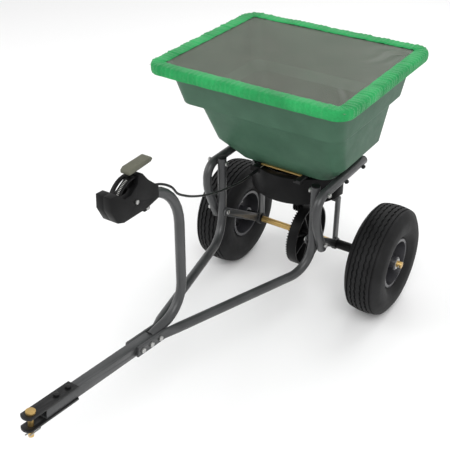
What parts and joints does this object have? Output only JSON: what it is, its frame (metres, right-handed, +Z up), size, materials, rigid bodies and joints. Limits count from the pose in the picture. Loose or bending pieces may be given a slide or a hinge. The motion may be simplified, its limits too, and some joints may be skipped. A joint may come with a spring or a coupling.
{
  "type": "tow-behind broadcast spreader",
  "caption": "Tow-behind broadcast spreader: covered tiered hopper on a bent-tube frame, pneumatic wheels, axle gear drive, spinning disc, sliding gate, rate lever and clevis hitch.",
  "frame": {"origin": "on the ground, under the middle of the machine's outline", "axes": "+Z up, the hitch points along -Y, +X is the machine's left side"},
  "size_m": [0.642, 1.3372, 0.7599],
  "materials": {
    "frame_paint": "satin",
    "black_plastic": "matte",
    "zinc": "satin",
    "yellow_zinc": "satin",
    "hopper_green": "satin",
    "tyre_rubber": "matte",
    "rim_paint": "satin",
    "grip_grey": "matte",
    "band_green": "satin",
    "cover_vinyl": "satin"
  },
  "bodies": {
    "chassis": {"tow_bar": "frame_paint", "left_side_tube": "frame_paint", "right_side_tube": "frame_paint", "left_hopper_rail": "frame_paint", "right_hopper_rail": "frame_paint", "tube_caps": "black_plastic", "control_post": "frame_paint", "frame_bolts": "zinc", "left_axle_arm": "frame_paint", "right_axle_arm": "frame_paint", "gear_bracket": "frame_paint", "left_axle_bush": "black_plastic", "right_axle_bush": "black_plastic", "lower_shaft_bush": "black_plastic", "upper_shaft_bush": "black_plastic", "hopper": "hopper_green", "hopper_bolts": "zinc", "gate_guides": "frame_paint", "cable_anchor": "black_plastic", "deflector": "black_plastic", "upper_hitch_strap": "frame_paint", "lower_hitch_strap": "frame_paint", "hitch_bolts": "zinc", "left_control_shell": "black_plastic", "right_control_shell": "black_plastic", "rate_scale": "black_plastic", "post_clamp": "black_plastic", "clamp_screw": "zinc", "lever_pivot": "zinc", "control_cable": "black_plastic"},
    "drive_axle": {"axle_rod": "yellow_zinc", "crown_gear": "black_plastic", "drive_pins": "zinc", "axle_spacers": "black_plastic", "axle_retainers": "zinc", "right_tyre": "tyre_rubber", "right_outer_rim": "rim_paint", "right_inner_rim": "rim_paint", "right_hub": "rim_paint", "right_rim_bolts": "zinc", "right_valve": "tyre_rubber"},
    "idle_wheel": {"left_tyre": "tyre_rubber", "left_outer_rim": "rim_paint", "left_inner_rim": "rim_paint", "left_hub": "rim_paint", "left_rim_bolts": "zinc", "left_valve": "tyre_rubber"},
    "spinner": {"disc_shaft": "zinc", "spinning_disc": "black_plastic", "pinion": "black_plastic", "agitator": "zinc"},
    "gate": {"gate_plate": "yellow_zinc", "gate_wire": "zinc"},
    "lever": {"rate_lever": "black_plastic", "lever_grip": "grip_grey"},
    "cover": {"cover_band": "band_green", "cover_sheet": "cover_vinyl"},
    "hitch_pin": {"hitch_pin": "yellow_zinc"},
    "hairpin": {"hairpin": "zinc"}
  },
  "joints": [
    {"name": "axle_spin", "type": "hinge", "parent": "chassis", "child": "drive_axle", "pos_m": [-0.026, 0.48861, 0.165], "axis": [1, 0, 0], "continuous": true},
    {"name": "idle_wheel_spin", "type": "hinge", "parent": "chassis", "child": "idle_wheel", "pos_m": [0.259, 0.48861, 0.165], "axis": [1, 0, 0], "continuous": true},
    {"name": "spinner_spin", "type": "hinge", "parent": "chassis", "child": "spinner", "pos_m": [-0.026, 0.48861, 0.344], "axis": [0, 0, 1], "continuous": true},
    {"name": "lever_swing", "type": "hinge", "parent": "chassis", "child": "lever", "pos_m": [-0.026, -0.28939, 0.653], "axis": [1, 0, 0], "range_deg": [0, 40]},
    {"name": "gate_slide", "type": "slide", "parent": "chassis", "child": "gate", "axis": [0, -1, 0], "range_m": [0, 0.03]},
    {"name": "cover_lift", "type": "slide", "parent": "chassis", "child": "cover", "axis": [0, 0, 1], "range_m": [0, 0.08]},
    {"name": "hitch_pin_turn", "type": "hinge", "parent": "chassis", "child": "hitch_pin", "pos_m": [-0.026, -0.64539, 0.298], "axis": [0, 0.1347, 0.9909], "continuous": true},
    {"name": "hairpin_pull", "type": "slide", "parent": "hitch_pin", "child": "hairpin", "axis": [0, 0.9909, -0.1347], "range_m": [0, 0.034]}
  ],
  "couplings": [
    {"joint": "spinner_spin", "follows": "axle_spin", "ratio": -5.6667},
    {"joint": "gate_slide", "follows": "lever_swing", "m_per_rad": 0.042971}
  ]
}
